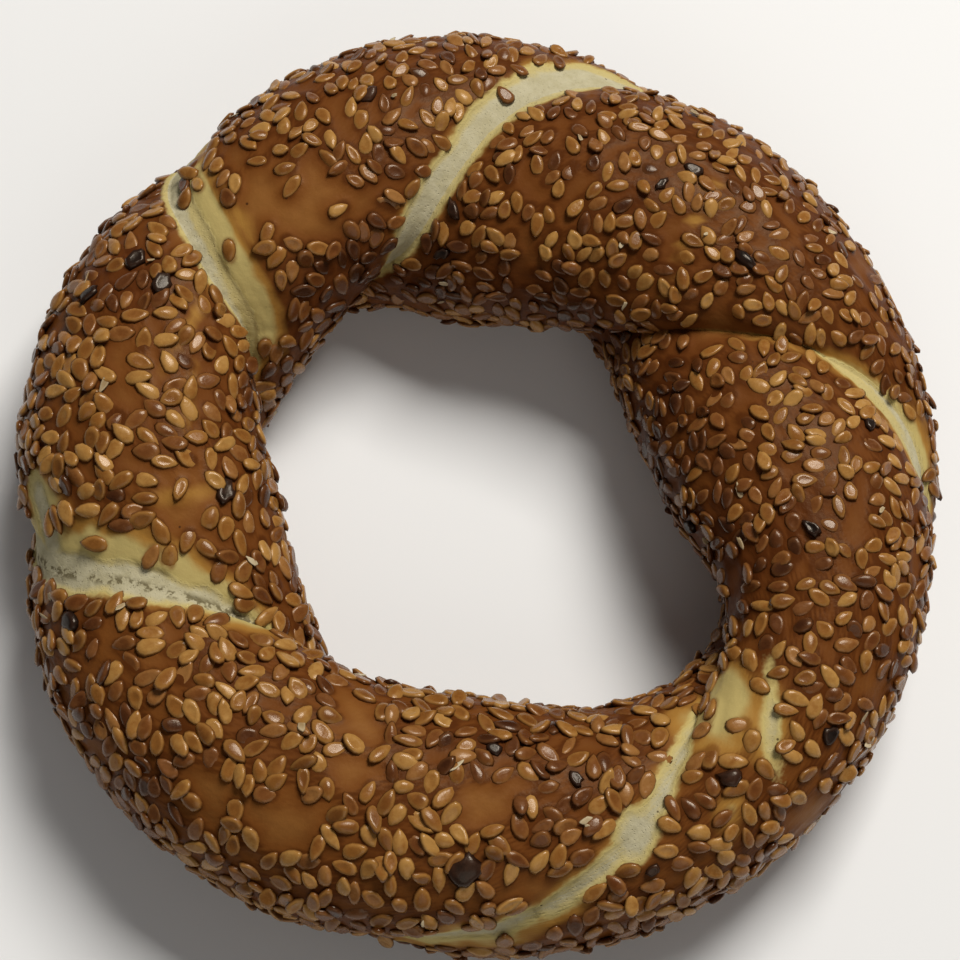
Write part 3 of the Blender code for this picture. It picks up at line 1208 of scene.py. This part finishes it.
@dataclass(frozen=True)
class SeedFinish:
    """Glazed seed hulls: a colour that runs with each seed's tone, a paler rim, and darker glaze with painted contact
    shade at its foot.
    """

    name: str
    dark: tuple[float, ...]
    middle: tuple[float, ...]
    light: tuple[float, ...]
    foot_glaze_and_shade: tuple[float, ...]
    rim_light: float = 0.40
    roughness: float = 0.26
    coat: float = 0.12
    shine: float = 0.26
    shine_tint: tuple[float, ...] = (1.0, 0.86, 0.68, 1.0)

    def make(self) -> bpy.types.Material:
        """Make the material from the seeds' tone, rim and shade."""
        board = NodeBoard(self.name)
        cloud = board.noise(0.0015, 3.0, 0.6)
        tone = board.add(board.attribute("tone"), board.times(cloud, 1.1), -0.55)
        colour = board.ramp(tone, ((0.0, self.dark), (0.5, self.middle), (1.0, self.light)))
        colour = board.mix(board.times(board.attribute("rim"), self.rim_light), colour, self.light)
        # Painted contact shade and darker glaze on the seed's lowest rings.
        foot_glaze_and_shade = board.step(board.attribute("shade"), 0.85, 0.0)
        colour = board.mix(board.times(foot_glaze_and_shade, 0.9), colour, self.foot_glaze_and_shade)
        board.set(Base_Color=colour, Coat_Weight=self.coat, Coat_Roughness=0.11, Coat_IOR=1.38)
        board.set(Specular_IOR_Level=self.shine, Specular_Tint=self.shine_tint)
        board.set(Roughness=board.step(cloud, 0.3, 0.7, self.roughness - 0.06, self.roughness + 0.08))
        board.bump(board.noise(0.0004, 3.0), 0.00005, 0.6)
        return board.material


@dataclass(frozen=True)
class Studio:
    """A plain pale floor, soft lights and the camera, which looks down on the ring from its near side."""

    ring_centre: tuple[float, float, float]
    elevation: float = 74.0
    distance: float = 0.45
    view_width: float = 0.1285
    sensor: float = 36.0
    floor_size: float = 4.0
    floor_colour: tuple[float, ...] = (0.80, 0.80, 0.79, 1.0)
    sky_colour: tuple[float, ...] = (0.97, 0.97, 1.0, 1.0)
    sky_strength: float = 0.10

    def floor(self) -> bpy.types.Object:
        """Make the floor, a plain even sheet."""
        half = self.floor_size / 2
        corners = np.array(((-half, -half, 0), (half, -half, 0), (half, half, 0), (-half, half, 0)), float)
        piece = mesh_piece("studio_floor", corners, [np.array(((0, 1, 2, 3),))])
        board = NodeBoard("pale_floor")
        board.set(Base_Color=self.floor_colour, Roughness=0.85)
        piece.data.materials.append(board.material)
        return piece

    def lamp(self, name: str, azimuth: float, height: float, away: float, size: float, watts: float,
             colour: tuple[float, float, float]) -> bpy.types.Object:
        """Hang a square soft light that faces the ring.

        Args:
            name: The light's name.
            azimuth: Its bearing in degrees, anticlockwise from +X.
            height: Its elevation above the floor in degrees.
            away: Its distance from the ring.
            size: The length of its side.
            watts: Its power.
            colour: Its colour.

        Returns:
            The light.
        """
        data = bpy.data.lights.new(name, "AREA")
        data.size = size
        data.energy = watts
        data.color = colour
        light = bpy.data.objects.new(name, data)
        turn, rise = math.radians(azimuth), math.radians(height)
        light.location = (
            away * math.cos(rise) * math.cos(turn),
            away * math.cos(rise) * math.sin(turn),
            away * math.sin(rise),
        )
        light.rotation_euler = (math.pi / 2 - rise, 0, turn + math.pi / 2)
        bpy.context.scene.collection.objects.link(light)
        return light

    def lights(self) -> None:
        """Hang the main light on the far side, a weak one on the near side, and an even sky."""
        self.lamp("window", azimuth=58, height=55, away=1.1, size=0.45, watts=13.8, colour=(1.0, 0.975, 0.94))
        self.lamp("reflector", azimuth=282, height=38, away=1.3, size=0.9, watts=2.6, colour=(1.0, 0.96, 0.91))
        world = bpy.data.worlds.new("studio_sky")
        world.use_nodes = True
        sky = world.node_tree.nodes["Background"]
        sky.inputs["Color"].default_value = self.sky_colour
        sky.inputs["Strength"].default_value = self.sky_strength
        bpy.context.scene.world = world

    def camera(self) -> bpy.types.Object:
        """Set up the camera and make it the scene's own."""
        data = bpy.data.cameras.new("studio_camera")
        data.sensor_width = self.sensor
        data.lens = self.sensor * self.distance / self.view_width
        view = bpy.data.objects.new("studio_camera", data)
        rise = math.radians(self.elevation)
        x, y, z = self.ring_centre
        view.location = (x, y - self.distance * math.cos(rise), z + self.distance * math.sin(rise))
        view.rotation_euler = (math.pi / 2 - rise, 0, 0)
        bpy.context.scene.collection.objects.link(view)
        bpy.context.scene.camera = view
        return view

    def build(self) -> None:
        """Set up everything that isn't the bread."""
        self.floor()
        self.lights()
        self.camera()
        bpy.context.scene.view_settings.view_transform = "Standard"


def simit_seams() -> tuple[Seam, ...]:
    """The five passes of the seam, clockwise from the one at the far left."""
    none = (-1.0, -1.0, -1.0, -1.0, -1.0)
    return (
        Seam(
            angles=(-152, -140, -128), depths=(0.0060, 0.0044, 0.0036), fall_before=0.50, fall_after=0.85,
            torn_before=(-0.6, 0.2, 0.3, 0.3, 0.3), torn_after=(0.6, 1.9, 2.7, 3.4, 3.8),
            golden_before=none, golden_after=(1.6, 4.0, 4.6, 3.8, 3.0), ragged=0.15, pits=0.25, strands=0.5,
        ),
        Seam(
            angles=(-113, -89, -58), depths=(0.0052, 0.0046, 0.0044), fall_before=0.80, fall_after=0.52,
            torn_before=(1.6, 3.3, 3.4, 4.9, 3.4), torn_after=(0.3, 0.6, 0.8, 1.0, 0.6),
            golden_before=(0.6, 0.6, 0.6, 1.0, 0.6), golden_after=(-0.5, 0.5, 0.5, 0.4, 0.3), ragged=0.20, pits=0.15,
            strands=0.10,
        ),
        Seam(
            angles=(-54, -27, 3), depths=(0.0050, 0.0052, 0.0036), fall_before=0.50, fall_after=0.75,
            torn_before=(-1.5, -1.5, -1.5, 0.1, 0.6), torn_after=(-1.5, -1.5, -1.5, 2.4, 3.2),
            golden_before=(-1.0, -1.0, 0.8, 2.2, 2.6), golden_after=(-1.0, -1.0, 1.0, 1.2, 0.6), ragged=0.25, pits=0.0,
            strands=0.5,
        ),
        Seam(
            angles=(26, 58, 98), depths=(0.0080, 0.0030, 0.0030), fall_before=0.70, fall_after=0.70,
            torn_before=(-0.8, 0.3, 1.3, 1.2, 1.6), torn_after=(-0.8, 0.2, 0.9, 1.0, 1.5),
            golden_before=(0.4, 1.2, 0.6, 1.2, 3.0), golden_after=(0.4, 0.8, 0.6, 1.2, 2.6), ragged=0.9, pits=0.1,
        ),
        Seam(
            angles=(127, 160, 175), depths=(0.0052, 0.0046, 0.0040), fall_before=0.52, fall_after=0.85,
            torn_before=(-0.6, 0.5, 1.7, 2.2, 1.8), torn_after=(-0.4, 0.9, 2.5, 3.0, 2.8),
            golden_before=(1.0, 3.0, 1.0, 0.3, 0.3), golden_after=(0.8, 2.2, 4.6, 4.4, 3.0), ragged=0.30, pits=1.0,
        ),
    )


def simit_bands(ring: Ring) -> Bands:
    """The torn and golden bands, with the small tears and bare patches that aren't along the seam."""
    return Bands(
        ring,
        tears=(
            Patch(3, 0.00, 0.61, 0.0036, 0.0022, -49),
            Patch(2, 0.75, 0.55, 0.0032, 0.0006, -46),
            Patch(4, 0.13, 0.80, 0.0052, 0.0020, -76),
        ),
        golden=(
            Patch(2, 0.93, 0.38, 0.0070, 0.0062, -40),
            Patch(2, 0.76, 0.55, 0.0050, 0.0028, -46),
            Patch(2, 0.80, 0.68, 0.0030, 0.0020, -46),
            Patch(4, 0.14, 0.78, 0.0075, 0.0044, -76),
            Patch(4, 0.85, 0.43, 0.0045, 0.0005, 90),
            Patch(4, 0.59, 0.38, 0.0035, 0.0005, 90),
            Patch(4, 0.35, 0.38, 0.0040, 0.0007, 0),
            Patch(1, 0.67, 0.48, 0.0040, 0.0008, 20),
        ),
        bare=(
            Patch(0, 0.42, 0.42, 0.0085, 0.0045, 55),
            Patch(0, 0.15, 0.27, 0.0060, 0.0025, -20),
            Patch(1, 0.66, 0.47, 0.0036, 0.0024, 20),
            Patch(1, 0.92, 0.44, 0.0030, 0.0014, 0),
            Patch(2, 0.23, 0.38, 0.0026, 0.0014, 20),
            Patch(2, 0.66, 0.47, 0.0024, 0.0014, 0),
            Patch(3, 0.52, 0.63, 0.0048, 0.0046, 0),
            Patch(3, 0.62, 0.67, 0.0050, 0.0024, 60),
            Patch(3, 0.07, 0.72, 0.0060, 0.0030, 90),
            Patch(4, 0.35, 0.38, 0.0060, 0.0038, 20),
        ),
        # Patches of painted shade, mostly on the walls of the hole.
        dark_crust=(
            Patch(2, 0.80, 0.14, 0.0125, 0.0080, 90),
            Patch(2, 0.45, 0.06, 0.0130, 0.0050, 90),
            Patch(1, 0.58, 0.12, 0.0160, 0.0055, 90),
            Patch(1, 0.15, 0.08, 0.0080, 0.0045, 90),
            Patch(1, 0.50, 0.46, 0.0042, 0.0034, 0),
            Patch(0, 0.48, 0.14, 0.0110, 0.0060, 90),
            Patch(3, 0.35, 0.30, 0.0050, 0.0034, 90),
            Patch(4, 0.80, 0.66, 0.0060, 0.0045, 0),
        ),
    )


def simit_chars() -> tuple[Char, ...]:
    """The burnt seeds and lumps."""
    return (
        Char(4, 0.40, 0.29, 1.10),
        Char(4, 0.85, 0.64, 1.05),
        Char(4, 0.86, 0.54, 0.95),
        Char(4, 0.70, 0.72, 0.90),
        Char(3, 0.18, 0.43, 0.85),
        Char(3, 0.36, 0.35, 0.60),
        Char(3, 0.23, 0.65, 1.45),
        Char(3, 0.92, 0.76, 1.15),
        Char(3, 0.55, 1.10, 0.90),
        Char(2, 0.13, 0.65, 0.70),
        Char(2, 0.84, 0.59, 1.10),
        Char(2, 0.59, 0.71, 0.85),
        Char(2, 0.89, 0.74, 0.75),
        Char(2, 0.45, 0.48, 0.90),
        Char(2, 0.70, 0.10, 0.90),
        Char(1, 0.78, 0.53, 1.00),
        Char(1, 0.50, 0.51, 0.70),
        Char(1, 0.48, 0.58, 0.85),
        Char(1, 0.10, 0.20, 0.95),
        Char(1, 0.60, 1.05, 0.90),
        Char(0, 0.60, 0.62, 0.90),
        Char(1, 0.06, 0.33, 0.80),
    )


def main() -> None:
    """Build the skin, the seeds and the studio, and report each piece."""
    logging.basicConfig(level=logging.INFO, format="%(message)s")
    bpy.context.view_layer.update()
    solid = Ring(seams=simit_seams())
    ring = replace(solid, peel=0.0004, lump=0.0003, fill=0.30, middle=solid.box_middle())
    bands = simit_bands(ring)
    sesame = SeedShape(length=0.0035, width=0.00205, thickness=0.00102)
    shapes = {
        SeedKind.GOLDEN: sesame,
        SeedKind.TANNED: replace(sesame, lift=(-0.00006, 0.00018)),
        SeedKind.TOASTED: replace(sesame, length=0.0034, lift=(-0.00008, 0.00020)),
        SeedKind.BURNT: replace(
            sesame, length=0.0032, width=0.0021, thickness=0.0015, spread=0.14, lumps=0.15, lift=(0.00025, 0.00045)
        ),
        SeedKind.HUSK: SeedShape(
            length=0.0019, width=0.0008, thickness=0.0002, spread=0.25, lumps=0.15, tilt=20, lift=(0.0004, 0.0007)
        ),
    }
    shares = {SeedKind.GOLDEN: 0.54, SeedKind.TANNED: 0.31, SeedKind.TOASTED: 0.15}
    finishes = {
        SeedKind.GOLDEN: SeedFinish(
            "golden_hulls", linear(104, 61, 23), linear(130, 83, 34), linear(163, 120, 62), linear(72, 34, 11)
        ),
        SeedKind.TANNED: SeedFinish(
            "tanned_hulls", linear(86, 46, 18), linear(110, 65, 28), linear(142, 97, 50), linear(62, 29, 9)
        ),
        SeedKind.TOASTED: SeedFinish(
            "toasted_hulls", linear(56, 27, 10), linear(82, 44, 18), linear(114, 71, 36), linear(42, 19, 7)
        ),
        SeedKind.BURNT: SeedFinish(
            "burnt_hulls", linear(20, 13, 10), linear(30, 19, 13), linear(58, 33, 20), linear(16, 10, 8),
            roughness=0.32,
        ),
        SeedKind.HUSK: SeedFinish(
            "husk_flakes", linear(140, 116, 80), linear(168, 148, 112), linear(188, 174, 144), linear(120, 90, 54),
            roughness=0.5,
        ),
    }
    coat = SeedCoat(ring, bands, shapes, shares, simit_chars())
    coat.scatter()
    for kind, piece in zip(coat.spots, coat.build()):
        piece.data.materials.append(finishes[kind].make())
        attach(piece, BODY)
        log.info("%s: %d seeds, %d faces", piece.name, len(coat.spots[kind].centre), len(piece.data.polygons))

    skin = Skin(ring, bands, coat).build()
    skin.data.materials.append(CrustFinish().make())
    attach(skin, BODY)
    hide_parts(SOLID)
    log.info("%s: %d faces", skin.name, len(skin.data.polygons))

    Studio(ring_centre=(0.0, 0.0, ring.waist_height)).build()
    log.info("studio: floor, lights and camera")


if __name__ == "__main__":
    main()
